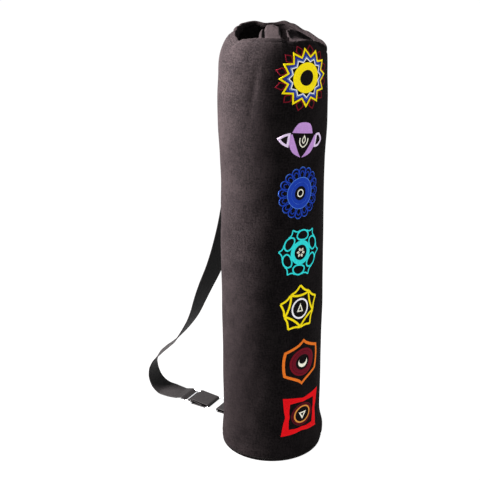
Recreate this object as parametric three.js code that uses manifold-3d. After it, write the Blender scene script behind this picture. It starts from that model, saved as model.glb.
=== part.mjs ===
// Yoga mat bag. A tall round canvas bag stands on its stiff base with its mouth open and
// folded in by hand. A webbing shoulder strap is sewn to the back near the top, swings out
// behind the bag, lies on the floor, and comes back through a three-bar slider to a
// rectangular ring, which a short webbing tab holds at the foot of the bag.
// Millimetres, +Z up. The origin is the middle of the base, on the floor. The embroidered
// front line faces -Y, and the strap is at the back, +Y.

import * as THREE from 'three';
import { mergeVertices } from 'three/addons/utils/BufferGeometryUtils.js';
import Module from 'manifold-3d';

// Driving sizes of the bag
const bagDiameter = 165;
const bagHeight = 711;
const canvasWall = 1.8;
const hemWall = 3;
const baseThickness = 3;
const seatGap = 0.3;

// Driving sizes of the webbing and its metal parts
const webWidth = 38;
const webThickness = 2;
const anchorHeight = 597;
const anchorLength = 40;
const strapSwing = 100;
const tabLength = 44;
const tabTurn = 24;
const barDiameter = 3.2;
const ringSlot = 20;
const sideClearance = 0.8;
const cornerRadius = 3;
const sliderReach = 43;
const sliderPitch = 11;
const tailLength = 22;
const exitLength = 13;

// Worked out from the driving sizes
const bagRadius = bagDiameter / 2;
const layerPitch = webThickness + seatGap;
const wrapRadius = barDiameter / 2 + seatGap + webThickness / 2;
const lowLayer = seatGap + webThickness / 2;
const barHeight = lowLayer + wrapRadius;
const tabBar = tabLength;
const ringBar = tabBar + ringSlot + barDiameter;
const sliderMiddle = ringBar + sliderReach;
const sliderNear = sliderMiddle - sliderPitch;
const sliderFar = sliderMiddle + sliderPitch;
const strapExit = sliderFar + exitLength;

// How wide the standing wall is at each height: rise is a share of the bag's height, reach
// a share of its radius. The wall flares to the stiff edge of the base.
const wallProfile = [
  { rise: 0, reach: 1 },
  { rise: 0.012, reach: 1 },
  { rise: 0.03, reach: 0.985 },
  { rise: 0.07, reach: 0.98 },
  { rise: 0.16, reach: 0.985 },
  { rise: 0.26, reach: 0.985 },
  { rise: 0.36, reach: 0.99 },
  { rise: 0.46, reach: 0.99 },
  { rise: 0.55, reach: 0.985 },
  { rise: 0.63, reach: 0.98 },
  { rise: 0.71, reach: 0.985 },
  { rise: 0.79, reach: 1 },
  { rise: 0.85, reach: 1.01 },
  { rise: 0.9, reach: 1 },
];

// The edge of the mouth, once round the bag. turn is degrees from the front line towards +X,
// reach a share of the bag's radius, and rise a share of its height. Small reaches are the
// folds that lean in over the mouth.
const mouthFolds = [
  { turn: -180, reach: 0.95, rise: 0.976 },
  { turn: -161, reach: 0.91, rise: 0.963 },
  { turn: -143, reach: 0.86, rise: 0.96 },
  { turn: -124, reach: 0.71, rise: 0.966 },
  { turn: -105, reach: 0.7, rise: 0.963 },
  { turn: -86, reach: 0.75, rise: 0.963 },
  { turn: -68, reach: 0.73, rise: 0.97 },
  { turn: -54, reach: 0.7, rise: 0.979 },
  { turn: -44, reach: 0.4, rise: 0.998 },
  { turn: -36, reach: 0.36, rise: 1 },
  { turn: -28, reach: 0.4, rise: 0.998 },
  { turn: -18, reach: 0.84, rise: 0.976 },
  { turn: -6, reach: 0.76, rise: 0.972 },
  { turn: 8, reach: 0.64, rise: 0.985 },
  { turn: 19, reach: 0.64, rise: 0.988 },
  { turn: 29, reach: 0.82, rise: 0.966 },
  { turn: 38, reach: 0.9, rise: 0.96 },
  { turn: 54, reach: 1, rise: 0.943 },
  { turn: 80, reach: 0.97, rise: 0.953 },
  { turn: 104, reach: 0.92, rise: 0.964 },
  { turn: 122, reach: 0.91, rise: 0.977 },
  { turn: 131, reach: 0.91, rise: 0.982 },
  { turn: 144, reach: 0.89, rise: 0.978 },
  { turn: 153, reach: 0.87, rise: 0.977 },
  { turn: 166, reach: 0.95, rise: 0.981 },
  { turn: 180, reach: 0.95, rise: 0.976 },
];

// Soft dents in the standing wall. spreadTurn is in degrees, spreadRise a share of the
// height, and depth a share of the radius.
const wallDents = [
  { turn: -58, rise: 0.87, spreadTurn: 9, spreadRise: 0.05, depth: 0.03 },
  { turn: -84, rise: 0.07, spreadTurn: 12, spreadRise: 0.03, depth: 0.015 },
  { turn: 40, rise: 0.74, spreadTurn: 25, spreadRise: 0.06, depth: 0.012 },
  { turn: -110, rise: 0.66, spreadTurn: 22, spreadRise: 0.05, depth: 0.015 },
  { turn: 115, rise: 0.55, spreadTurn: 24, spreadRise: 0.08, depth: 0.018 },
];

// The strap's free route from the slider to its sewn end. rise is the share of the way up
// to the sewn end, side and back are offsets as shares of strapSwing, and heading and tilt
// give, in degrees, the way the webbing's width points: in plan, and above the level.
const strapRoute = [
  { rise: 0.003, side: -0.106, back: 0.163, heading: 26, tilt: 8 },
  { rise: 0.008, side: -0.2, back: 0.32, heading: 27, tilt: 9 },
  { rise: 0.026, side: -0.28, back: 0.44, heading: 28, tilt: 5 },
  { rise: 0.053, side: -0.33, back: 0.525, heading: 31, tilt: 0 },
  { rise: 0.075, side: -0.335, back: 0.57, heading: 36, tilt: -8 },
  { rise: 0.093, side: -0.305, back: 0.595, heading: 46, tilt: -16 },
  { rise: 0.115, side: -0.207, back: 0.6, heading: 59, tilt: -19 },
  { rise: 0.132, side: -0.077, back: 0.59, heading: 63, tilt: -21 },
  { rise: 0.146, side: 0.045, back: 0.577, heading: 60, tilt: -23 },
  { rise: 0.168, side: 0.163, back: 0.574, heading: 51, tilt: -25 },
  { rise: 0.198, side: 0.297, back: 0.58, heading: 42, tilt: -28 },
  { rise: 0.23, side: 0.41, back: 0.607, heading: 30, tilt: -27 },
  { rise: 0.269, side: 0.498, back: 0.645, heading: 19, tilt: -22 },
  { rise: 0.314, side: 0.58, back: 0.659, heading: 10, tilt: -20 },
  { rise: 0.383, side: 0.73, back: 0.692, heading: 0, tilt: -20 },
  { rise: 0.483, side: 0.79, back: 0.672, heading: -8, tilt: -12 },
  { rise: 0.59, side: 0.71, back: 0.561, heading: -10, tilt: -4 },
  { rise: 0.702, side: 0.54, back: 0.386, heading: -8, tilt: 0 },
  { rise: 0.812, side: 0.32, back: 0.21, heading: -4, tilt: 0 },
  { rise: 0.912, side: 0.118, back: 0.075, heading: 0, tilt: 0 },
];

const canvasCloth = new THREE.MeshStandardMaterial({ color: 0x4d4343, roughness: 0.95, metalness: 0 });
const blackWebbing = new THREE.MeshStandardMaterial({ color: 0x111010, roughness: 0.85, metalness: 0 });
const chrome = new THREE.MeshStandardMaterial({ color: 0xd9dcdf, roughness: 0.15, metalness: 1 });

const radians = THREE.MathUtils.degToRad;
const mix = THREE.MathUtils.lerp;

// Reads a table by one of its columns, easing from each row to the next
function readTable(table, column, at, wanted) {
  const last = table.length - 1;
  let row = 0;
  while (row < last - 1 && at > table[row + 1][column]) {
    row += 1;
  }
  const from = table[row];
  const to = table[row + 1];
  const share = THREE.MathUtils.clamp((at - from[column]) / (to[column] - from[column]), 0, 1);
  return mix(from[wanted], to[wanted], share * share * (3 - 2 * share));
}

function turnBetween(from, to) {
  return ((to - from + 540) % 360) - 180;
}

function dentDepth(turn, rise) {
  let depth = 0;
  for (const dent of wallDents) {
    const round = turnBetween(dent.turn, turn) / dent.spreadTurn;
    const up = (rise - dent.rise) / dent.spreadRise;
    depth += dent.depth * Math.exp(-round * round - up * up);
  }
  return depth;
}

// Radius of the standing wall's outside
function wallRadius(turn, rise) {
  return bagRadius * (readTable(wallProfile, 'rise', rise, 'reach') - dentDepth(turn, rise));
}

// Outside of the folded shoulder, share 0 at the top of the standing wall and 1 at the mouth
function shoulderPoint(turn, share) {
  const topRise = wallProfile[wallProfile.length - 1].rise;
  const foot = { radius: wallRadius(turn, topRise), height: topRise * bagHeight };
  const edge = {
    radius: bagRadius * readTable(mouthFolds, 'turn', turn, 'reach'),
    height: bagHeight * readTable(mouthFolds, 'turn', turn, 'rise'),
  };
  const curve = new THREE.CubicBezierCurve(
    new THREE.Vector2(foot.radius, foot.height),
    new THREE.Vector2(foot.radius, mix(foot.height, edge.height, 0.62)),
    new THREE.Vector2(mix(edge.radius, foot.radius, 0.55), mix(foot.height, edge.height, 0.97)),
    new THREE.Vector2(edge.radius, edge.height),
  );
  return { at: curve.getPoint(share), along: curve.getTangent(share) };
}

function placed(turn, radius, height) {
  return [radius * Math.sin(radians(turn)), -radius * Math.cos(radians(turn)), height];
}

// A wall that turns sharply round the mouth would come out thin where it is only moved
// inwards, so it is moved further there
function steepness(turn, share) {
  const step = 0.5;
  const ahead = shoulderPoint(turn + step, share).at.x;
  const behind = shoulderPoint(turn - step, share).at.x;
  const slope = (ahead - behind) / (2 * radians(step)) / shoulderPoint(turn, share).at.x;
  return Math.min(Math.hypot(1, slope), 2.2);
}

// Plan angles for the body's columns: every row of the fold table, with steps between
function foldTurns() {
  const turns = [];
  for (let row = 0; row < mouthFolds.length - 1; row += 1) {
    const from = mouthFolds[row].turn;
    const span = mouthFolds[row + 1].turn - from;
    const steps = Math.max(2, Math.round(span / 6));
    for (let step = 0; step < steps; step += 1) {
      turns.push(from + (span * step) / steps);
    }
  }
  return turns;
}

// A closed body from rings of equal length, joined ring to ring and back to the first
function ringBody(rings) {
  const columns = rings[0].length;
  const positions = rings.flat(2);
  const faces = [];
  rings.forEach((ring, row) => {
    const next = (row + 1) % rings.length;
    for (let column = 0; column < columns; column += 1) {
      const beside = (column + 1) % columns;
      const a = row * columns + column;
      const b = row * columns + beside;
      const c = next * columns + beside;
      const d = next * columns + column;
      faces.push(a, b, c, a, c, d);
    }
  });
  return indexedGeometry(positions, faces);
}

function indexedGeometry(positions, faces) {
  const geometry = new THREE.BufferGeometry();
  geometry.setAttribute('position', new THREE.Float32BufferAttribute(positions, 3));
  geometry.setIndex(faces);
  geometry.computeVertexNormals();
  return geometry;
}

// The hollow canvas body: outside rings from the foot up, then inside rings back down
function bagBody() {
  const turns = foldTurns();
  const shoulderShares = [0.2, 0.4, 0.56, 0.7, 0.8, 0.9, 1];
  const hemShare = 0.7;
  const outside = [];
  const inside = [];
  for (const { rise } of wallProfile) {
    const height = rise * bagHeight;
    outside.push(turns.map((turn) => placed(turn, wallRadius(turn, rise), height)));
    inside.push(turns.map((turn) => placed(turn, wallRadius(turn, rise) - canvasWall, height)));
  }
  for (const share of shoulderShares) {
    const wall = share > hemShare ? hemWall : canvasWall;
    outside.push(turns.map((turn) => {
      const { at } = shoulderPoint(turn, share);
      return placed(turn, at.x, at.y);
    }));
    inside.push(turns.map((turn) => {
      const { at, along } = shoulderPoint(turn, share);
      const depth = wall * steepness(turn, share);
      return placed(turn, at.x - along.y * depth, at.y + along.x * wall);
    }));
  }
  return ringBody([...outside, ...inside.reverse()]);
}

// The stiff round panel sewn into the foot
function basePanel() {
  const radius = bagRadius * wallProfile[0].reach - canvasWall - seatGap;
  const outline = [
    new THREE.Vector2(0, 0),
    new THREE.Vector2(radius, 0),
    new THREE.Vector2(radius, baseThickness),
    new THREE.Vector2(0, baseThickness),
  ];
  return new THREE.LatheGeometry(outline, 72).rotateX(Math.PI / 2);
}

// Maps a place along the tab, across it and above the floor to the bag's frame
const tabRoot = new THREE.Vector3(0, bagRadius, 0);
const tabAlong = new THREE.Vector3(-Math.sin(radians(tabTurn)), Math.cos(radians(tabTurn)), 0);
const tabAcross = new THREE.Vector3(Math.cos(radians(tabTurn)), Math.sin(radians(tabTurn)), 0);

function tabPlace(along, across, height) {
  return tabRoot.clone()
    .addScaledVector(tabAlong, along)
    .addScaledVector(tabAcross, across)
    .setZ(height);
}

// The line of a belt that runs past circles: straight between them and round each one.
// turnRadius is positive where the belt turns left round the circle, and 0 at a point.
function beltLine(circles) {
  const arcStep = radians(30);
  const links = circles.slice(1).map((to, index) => {
    const from = circles[index];
    const apart = Math.hypot(to.along - from.along, to.height - from.height);
    const bearing = Math.atan2(to.height - from.height, to.along - from.along);
    return bearing - Math.asin((to.turnRadius - from.turnRadius) / apart);
  });
  const line = [];
  circles.forEach((circle, index) => {
    const side = Math.sign(circle.turnRadius);
    const enter = links[Math.max(index - 1, 0)];
    const leave = links[Math.min(index, links.length - 1)];
    const full = 2 * Math.PI;
    const swept = side === 0 ? 0 : side * ((((leave - enter) * side) % full + full) % full);
    const steps = Math.max(Math.ceil(Math.abs(swept) / arcStep), side === 0 ? 0 : 1);
    for (let step = 0; step <= steps; step += 1) {
      const heading = enter + (steps === 0 ? 0 : (swept * step) / steps);
      line.push({
        along: circle.along + circle.turnRadius * Math.sin(heading),
        height: circle.height - circle.turnRadius * Math.cos(heading),
      });
    }
  });
  return line;
}

// A flat band through stations with a centre, a width direction and a cup, the share by
// which it bends round the bag across its width
function webBand(stations) {
  const acrossSteps = 4;
  const rings = stations.map((station, index) => {
    const before = stations[Math.max(index - 1, 0)].centre;
    const after = stations[Math.min(index + 1, stations.length - 1)].centre;
    const along = after.clone().sub(before).normalize();
    const across = station.across.clone().addScaledVector(along, -station.across.dot(along)).normalize();
    const face = along.clone().cross(across);
    const ring = [];
    for (const side of [1, -1]) {
      for (let step = 0; step <= acrossSteps; step += 1) {
        const offset = side * webWidth * (step / acrossSteps - 0.5);
        const bow = (station.cup * offset * offset) / bagDiameter;
        ring.push(station.centre.clone()
          .addScaledVector(across, offset)
          .addScaledVector(face, (side * webThickness) / 2 - bow)
          .toArray());
      }
    }
    return ring;
  });
  const corners = rings[0].length;
  const faces = [];
  for (let row = 0; row < rings.length - 1; row += 1) {
    for (let corner = 0; corner < corners; corner += 1) {
      const beside = (corner + 1) % corners;
      const a = row * corners + corner;
      const b = row * corners + beside;
      faces.push(a, b + corners, b, a, a + corners, b + corners);
    }
  }
  const end = (rings.length - 1) * corners;
  for (let step = 0; step < acrossSteps; step += 1) {
    const low = corners - 1 - step;
    faces.push(step, step + 1, low, step + 1, low - 1, low);
    faces.push(end + step, end + low, end + step + 1, end + step + 1, end + low, end + low - 1);
  }
  return indexedGeometry(rings.flat(2), faces);
}

function tabStation(place) {
  return { centre: tabPlace(place.along, 0, place.height), across: tabAcross, cup: 0 };
}

// The strap: tail and loop at the slider's near bar, back to the ring, over the slider and
// out to the free route, up to the end that is sewn flat on the back of the bag
function shoulderStrap() {
  const metalLine = beltLine([
    { along: sliderNear - tailLength, height: lowLayer + layerPitch, turnRadius: 0 },
    { along: sliderNear, height: barHeight, turnRadius: -wrapRadius },
    { along: ringBar, height: barHeight, turnRadius: -wrapRadius },
    { along: sliderNear, height: barHeight, turnRadius: -(wrapRadius + layerPitch) },
    { along: sliderMiddle, height: barHeight, turnRadius: wrapRadius },
    { along: sliderFar, height: barHeight, turnRadius: -wrapRadius },
    { along: strapExit, height: lowLayer + webThickness, turnRadius: 0 },
  ]);
  const stations = metalLine.map(tabStation);
  return webBand([...stations, ...freeStations(), ...anchorStations()]);
}

function anchorCentre(height) {
  const outside = wallRadius(180, height / bagHeight);
  return new THREE.Vector3(0, outside + seatGap + webThickness / 2, height);
}

function anchorStations() {
  return [0, 0.5, 1].map((share) => ({
    centre: anchorCentre(anchorHeight + share * anchorLength),
    across: new THREE.Vector3(1, 0, 0),
    cup: 1,
  }));
}

function freeStations() {
  const start = tabPlace(strapExit, 0, lowLayer + webThickness);
  const finish = anchorCentre(anchorHeight);
  const centres = strapRoute.map(({ rise, side, back }) => start.clone()
    .lerp(finish, rise)
    .add(new THREE.Vector3(side * strapSwing, back * strapSwing, 0)));
  const line = new THREE.CatmullRomCurve3([start, ...centres, finish], false, 'centripetal');
  const rows = [{ heading: tabTurn, tilt: 0 }, ...strapRoute, { heading: 0, tilt: 0 }];
  const stations = [];
  const stepsPerRow = 3;
  for (let step = 1; step < (rows.length - 1) * stepsPerRow; step += 1) {
    const row = Math.floor(step / stepsPerRow);
    const share = (step % stepsPerRow) / stepsPerRow;
    const heading = radians(mix(rows[row].heading, rows[row + 1].heading, share));
    const tilt = radians(mix(rows[row].tilt, rows[row + 1].tilt, share));
    const across = new THREE.Vector3(
      Math.cos(tilt) * Math.cos(heading),
      Math.cos(tilt) * Math.sin(heading),
      Math.sin(tilt),
    );
    const lastRow = row === rows.length - 2;
    stations.push({
      centre: line.getPoint(step / ((rows.length - 1) * stepsPerRow)),
      across,
      cup: lastRow ? share : 0,
    });
  }
  return stations;
}

// The tab: out along the floor, round the ring's inner bar and back on top, trimmed to the
// curve of the bag's foot
function ringTab(wasm) {
  const overlap = webWidth / 2;
  const line = beltLine([
    { along: -overlap, height: lowLayer, turnRadius: 0 },
    { along: tabBar, height: barHeight, turnRadius: wrapRadius },
    { along: -overlap, height: lowLayer + layerPitch, turnRadius: 0 },
  ]);
  const band = toManifold(wasm, webBand(line.map(tabStation)));
  const trimHeight = bagHeight / 4;
  const foot = new THREE.CylinderGeometry(bagRadius + seatGap, bagRadius + seatGap, trimHeight, 144);
  return fromManifold(band.subtract(toManifold(wasm, foot.rotateX(Math.PI / 2))));
}

// A closed wire frame: a rounded rectangle in plan whose bars lie across the webbing
function wireFrame(nearBar, farBar) {
  const sides = 8;
  const cornerSteps = 3;
  const halfAlong = (farBar - nearBar) / 2;
  const halfAcross = webWidth / 2 + sideClearance + barDiameter / 2;
  const middle = (nearBar + farBar) / 2;
  const rings = [];
  for (let corner = 0; corner < 4; corner += 1) {
    const alongSign = corner === 0 || corner === 3 ? 1 : -1;
    const acrossSign = corner < 2 ? 1 : -1;
    for (let step = 0; step <= cornerSteps; step += 1) {
      const turn = (Math.PI / 2) * (corner + step / cornerSteps);
      const outAlong = Math.cos(turn);
      const outAcross = Math.sin(turn);
      const along = middle + alongSign * (halfAlong - cornerRadius) + cornerRadius * outAlong;
      const across = acrossSign * (halfAcross - cornerRadius) + cornerRadius * outAcross;
      const ring = [];
      for (let side = 0; side < sides; side += 1) {
        const round = (2 * Math.PI * (side + 0.5)) / sides;
        const out = (barDiameter / 2) * Math.cos(round);
        const up = (barDiameter / 2) * Math.sin(round);
        ring.push(tabPlace(along + outAlong * out, across + outAcross * out, barHeight + up).toArray());
      }
      rings.push(ring);
    }
  }
  return ringBody(rings);
}

function slider(wasm) {
  const frame = toManifold(wasm, wireFrame(sliderNear, sliderFar));
  const length = webWidth + 2 * sideClearance + barDiameter;
  const bar = new THREE.CylinderGeometry(barDiameter / 2, barDiameter / 2, length, 8);
  const place = tabPlace(sliderMiddle, 0, barHeight);
  bar.rotateZ(Math.PI / 2).rotateZ(radians(tabTurn)).translate(place.x, place.y, place.z);
  return fromManifold(frame.add(toManifold(wasm, bar)));
}

function toManifold(wasm, geometry) {
  const bare = geometry.clone();
  bare.deleteAttribute('normal');
  bare.deleteAttribute('uv');
  const merged = mergeVertices(bare, 1e-4);
  return new wasm.Manifold(new wasm.Mesh({
    numProp: 3,
    vertProperties: new Float32Array(merged.attributes.position.array),
    triVerts: new Uint32Array(merged.index.array),
  }));
}

function fromManifold(solid) {
  const { vertProperties, triVerts } = solid.getMesh();
  return indexedGeometry(Array.from(vertProperties), Array.from(triVerts));
}

function named(name, geometry, material) {
  const mesh = new THREE.Mesh(geometry, material);
  mesh.name = name;
  return mesh;
}

const wasm = await Module();
wasm.setup();

const bag = new THREE.Group();
bag.name = 'yoga_mat_bag';
bag.add(named('bag_body', bagBody(), canvasCloth));
bag.add(named('base_panel', basePanel(), canvasCloth));
bag.add(named('shoulder_strap', shoulderStrap(), blackWebbing));
bag.add(named('ring_tab', ringTab(wasm), blackWebbing));
bag.add(named('strap_ring', wireFrame(tabBar, ringBar), chrome));
bag.add(named('strap_slider', slider(wasm), chrome));

export default bag;
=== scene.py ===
import math

import bmesh
import bpy
import numpy as np
from mathutils import Matrix, Vector


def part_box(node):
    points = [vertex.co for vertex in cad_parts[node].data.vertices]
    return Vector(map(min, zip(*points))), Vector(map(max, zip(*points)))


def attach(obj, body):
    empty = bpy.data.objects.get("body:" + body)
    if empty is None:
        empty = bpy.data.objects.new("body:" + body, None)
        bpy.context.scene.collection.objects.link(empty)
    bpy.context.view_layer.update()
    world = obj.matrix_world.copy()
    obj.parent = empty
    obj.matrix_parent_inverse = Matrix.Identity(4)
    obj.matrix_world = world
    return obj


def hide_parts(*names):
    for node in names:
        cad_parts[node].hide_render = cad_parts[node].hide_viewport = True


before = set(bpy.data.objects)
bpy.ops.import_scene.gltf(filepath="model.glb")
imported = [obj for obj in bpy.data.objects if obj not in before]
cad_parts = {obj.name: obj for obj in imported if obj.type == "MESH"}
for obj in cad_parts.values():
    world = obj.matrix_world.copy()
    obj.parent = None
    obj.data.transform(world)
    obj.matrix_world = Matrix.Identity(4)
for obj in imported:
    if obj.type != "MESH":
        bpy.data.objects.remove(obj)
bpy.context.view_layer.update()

# A yoga mat bag of black canvas, with seven embroidered figures down its front, a webbing
# shoulder strap and chrome fittings. Metres, +Z up, the embroidered front line faces -Y.
# turn is degrees round the bag from the front line towards +X.

MM = 0.001

# Driving sizes, read from the frame or repeated from the part
CANVAS_WALL = 1.8 * MM
HEM_WALL = 3 * MM
SEAT_GAP = 0.3 * MM
BASE_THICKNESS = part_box("base_panel")[1].z
BAG_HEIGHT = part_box("bag_body")[1].z
BAG_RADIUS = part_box("base_panel")[1].x + CANVAS_WALL + SEAT_GAP
WEB_WIDTH = 38 * MM
WEB_THICKNESS = 2 * MM
ANCHOR_HEIGHT = 597 * MM
ANCHOR_LENGTH = 40 * MM
STRAP_SWING = 100 * MM
TAB_LENGTH = 44 * MM
TAB_TURN = 24
BAR_DIAMETER = 3.2 * MM
RING_SLOT = 20 * MM
SIDE_CLEARANCE = 0.8 * MM
CORNER_RADIUS = 3 * MM
SLIDER_REACH = 43 * MM
SLIDER_PITCH = 11 * MM
TAIL_LENGTH = 22 * MM
EXIT_LENGTH = 13 * MM

LAYER_PITCH = WEB_THICKNESS + SEAT_GAP
WRAP_RADIUS = BAR_DIAMETER / 2 + SEAT_GAP + WEB_THICKNESS / 2
LOW_LAYER = SEAT_GAP + WEB_THICKNESS / 2
BAR_HEIGHT = LOW_LAYER + WRAP_RADIUS
TAB_BAR = TAB_LENGTH
RING_BAR = TAB_BAR + RING_SLOT + BAR_DIAMETER
SLIDER_MIDDLE = RING_BAR + SLIDER_REACH
SLIDER_NEAR = SLIDER_MIDDLE - SLIDER_PITCH
SLIDER_FAR = SLIDER_MIDDLE + SLIDER_PITCH
STRAP_EXIT = SLIDER_FAR + EXIT_LENGTH

# Camera: fitted to the photograph's view
CAMERA_PLACE = (-0.9947, -1.3691, 1.0555)
CAMERA_FORWARD = (0.521, 0.765, -0.379)
CAMERA_UP = (0.219, 0.310, 0.925)
SENSOR = 36
FOCAL = 85.45


def table(names, rows):
    """Columns by name, from rows written one under another."""
    return dict(zip(names.split(), np.array(rows, float).T))


WALL_PROFILE = table("rise reach", [
    (0, 1), (0.012, 1), (0.03, 0.985), (0.07, 0.98), (0.16, 0.985), (0.26, 0.985),
    (0.36, 0.99), (0.46, 0.99), (0.55, 0.985), (0.63, 0.98), (0.71, 0.985), (0.79, 1),
    (0.85, 1.01), (0.9, 1),
])

# The mouth, once round: its crest stands at reach and rise, lean degrees round from its own
# part of the wall, and from there the hem turns in by over and up by lift, aimed aim degrees
# off the line to the middle
MOUTH_FOLDS = table("turn reach rise lean over lift aim", [
    (-180, 0.96, 0.979, 0, 0.03, -0.006, 0),
    (-166, 0.86, 0.979, -2, 0.04, -0.012, 0),
    (-149, 0.75, 0.977, 0, 0.05, -0.018, 0),
    (-130, 0.7, 0.976, 2, 0.05, -0.02, 0),
    (-112, 0.7, 0.975, 5, 0.05, -0.02, 0),
    (-97, 0.77, 0.973, 9, 0.05, -0.02, 10),
    (-87, 0.75, 0.979, 8, 0.05, -0.018, 8),
    (-76, 0.72, 0.982, 6, 0.05, -0.018, 6),
    (-66, 0.7, 0.984, 4, 0.05, -0.018, 4),
    (-63, 0.7, 0.984, 3, 0.06, -0.016, 22),
    (-57, 0.71, 0.985, 2, 0.6, -0.01, 23),
    (-52, 0.71, 0.985, 1, 1.04, -0.004, 17),
    (-44, 0.71, 0.985, 1, 1.18, 0, 9),
    (-36, 0.72, 0.985, 0, 1.2, 0.001, 0),
    (-29, 0.72, 0.985, -1, 1.1, -0.002, -9),
    (-25, 0.72, 0.985, -1, 0.7, -0.012, -13),
    (-21, 0.73, 0.983, -1, 0.24, -0.032, -10),
    (-18, 0.74, 0.98, -1, 0.16, -0.04, -4),
    (-14, 0.77, 0.979, -1, 0.16, -0.038, 0),
    (-9, 0.79, 0.979, -2, 0.2, -0.014, -2),
    (-3, 0.77, 0.979, -1, 0.22, 0.004, -2),
    (4, 0.77, 0.978, 0, 0.34, 0.009, -2),
    (12, 0.78, 0.977, 0, 0.42, 0.014, 0),
    (20, 0.8, 0.974, 3, 0.42, 0.018, 8),
    (28, 0.8, 0.97, 2, 0.3, 0.018, 7),
    (34, 0.79, 0.968, 0, 0.15, 0.01, 1),
    (39, 0.83, 0.966, -2, 0.08, 0.004, -2),
    (46, 0.9, 0.96, -3, 0.05, -0.01, -2),
    (54, 0.96, 0.95, -3, 0.04, -0.012, 0),
    (80, 0.96, 0.955, 0, 0.04, -0.012, 0),
    (104, 0.94, 0.966, 0, 0.03, -0.005, 0),
    (122, 0.93, 0.979, 0, 0.03, -0.006, 0),
    (131, 0.93, 0.984, 0, 0.03, -0.006, 0),
    (144, 0.91, 0.98, 0, 0.03, -0.006, 0),
    (153, 0.89, 0.979, 0, 0.03, -0.006, 0),
    (166, 0.96, 0.983, 0, 0.03, -0.006, 0),
    (180, 0.96, 0.979, 0, 0.03, -0.006, 0),
])
CREST_SHARE = 0.7

WALL_DENTS = table("turn rise spread_turn spread_rise depth", [
    (-58, 0.87, 9, 0.05, 0.012),
    (-84, 0.07, 12, 0.03, 0.015),
    (40, 0.7, 20, 0.05, 0.006),
    (-110, 0.66, 22, 0.05, 0.015),
    (115, 0.55, 24, 0.08, 0.018),
    (58, 0.032, 24, 0.028, -0.068),
    (-124, 0.03, 22, 0.025, -0.022),
    (58, 0.79, 26, 0.06, -0.022),
    (-124, 0.8, 26, 0.09, -0.02),
    (56, 0.35, 26, 0.16, -0.01),
])

STRAP_ROUTE = table("rise side back heading tilt", [
    (0.003, -0.106, 0.163, 26, 8),
    (0.008, -0.2, 0.32, 27, 9),
    (0.026, -0.28, 0.44, 28, 5),
    (0.053, -0.33, 0.525, 31, 0),
    (0.075, -0.335, 0.57, 36, -8),
    (0.093, -0.305, 0.595, 46, -16),
    (0.115, -0.207, 0.6, 59, -19),
    (0.132, -0.077, 0.59, 63, -21),
    (0.146, 0.045, 0.577, 60, -23),
    (0.168, 0.163, 0.574, 51, -25),
    (0.198, 0.297, 0.58, 42, -28),
    (0.23, 0.41, 0.607, 30, -27),
    (0.269, 0.498, 0.645, 19, -22),
    (0.314, 0.58, 0.659, 10, -20),
    (0.383, 0.73, 0.692, 0, -20),
    (0.483, 0.79, 0.672, -8, -12),
    (0.59, 0.71, 0.561, -10, -4),
    (0.702, 0.54, 0.386, -8, 0),
    (0.812, 0.32, 0.21, -4, 0),
    (0.912, 0.118, 0.075, 0, 0),
])


def rows_of(rows):
    """The rows of a table, each as values by name."""
    return [dict(zip(rows, row)) for row in zip(*rows.values())]


def read_table(rows, column, wanted, at):
    """Reads a table by one of its columns, easing from each row to the next."""
    keys, values = rows[column], rows[wanted]
    row = np.clip(np.searchsorted(keys, at) - 1, 0, len(keys) - 2)
    share = np.clip((at - keys[row]) / (keys[row + 1] - keys[row]), 0, 1)
    return values[row] + (values[row + 1] - values[row]) * share * share * (3 - 2 * share)


def turn_between(start, end):
    return (end - start + 180) % 360 - 180


def mix(a, b, share):
    return a + (b - a) * share


def unit(vectors):
    """The same directions with length one."""
    return vectors / np.linalg.norm(vectors, axis=-1, keepdims=True)


def lengths_along(line):
    """How far each point of a line lies from its start, along the line."""
    return np.concatenate([[0], np.cumsum(np.linalg.norm(np.diff(line, axis=0), axis=1))])


def read_at(wanted, keys, values):
    """Reads values, or each column of values, at wanted places between their keys."""
    if values.ndim == 1:
        return np.interp(wanted, keys, values)
    return np.stack([np.interp(wanted, keys, column) for column in values.T], axis=-1)


# The skin: the canvas body's outside, held as a fine grid of points and normals with a
# column for every quarter of a degree
TOP_RISE = WALL_PROFILE["rise"][-1]
STANDING = TOP_RISE * BAG_HEIGHT
GRID_TURNS = np.linspace(-180, 180, 1441)
STANDING_ROWS = 430
SHOULDER_ROWS = 90


def wall_radius(turn, rise):
    """The canvas wall's radius, with its dents."""
    depth = 0
    for dent in rows_of(WALL_DENTS):
        around = turn_between(dent["turn"], turn) / dent["spread_turn"]
        up = (rise - dent["rise"]) / dent["spread_rise"]
        depth = depth + dent["depth"] * np.exp(-around * around - up * up)
    return BAG_RADIUS * (read_table(WALL_PROFILE, "rise", "reach", rise) - depth)


def placed(turn, radius, height):
    """Points from turn, radius and height."""
    angle = np.radians(turn)
    return np.stack([radius * np.sin(angle), -radius * np.cos(angle), height + 0 * angle], axis=-1)


def raised(points, height):
    out = points.copy()
    out[..., 2] = height
    return out


def bezier(p0, p1, p2, p3, share):
    """A cubic curve at shares of its way."""
    share = np.clip(share, 0, 1)[..., None]
    rest = 1 - share
    return rest ** 3 * p0 + 3 * share * rest ** 2 * p1 + 3 * share ** 2 * rest * p2 + share ** 3 * p3


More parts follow.
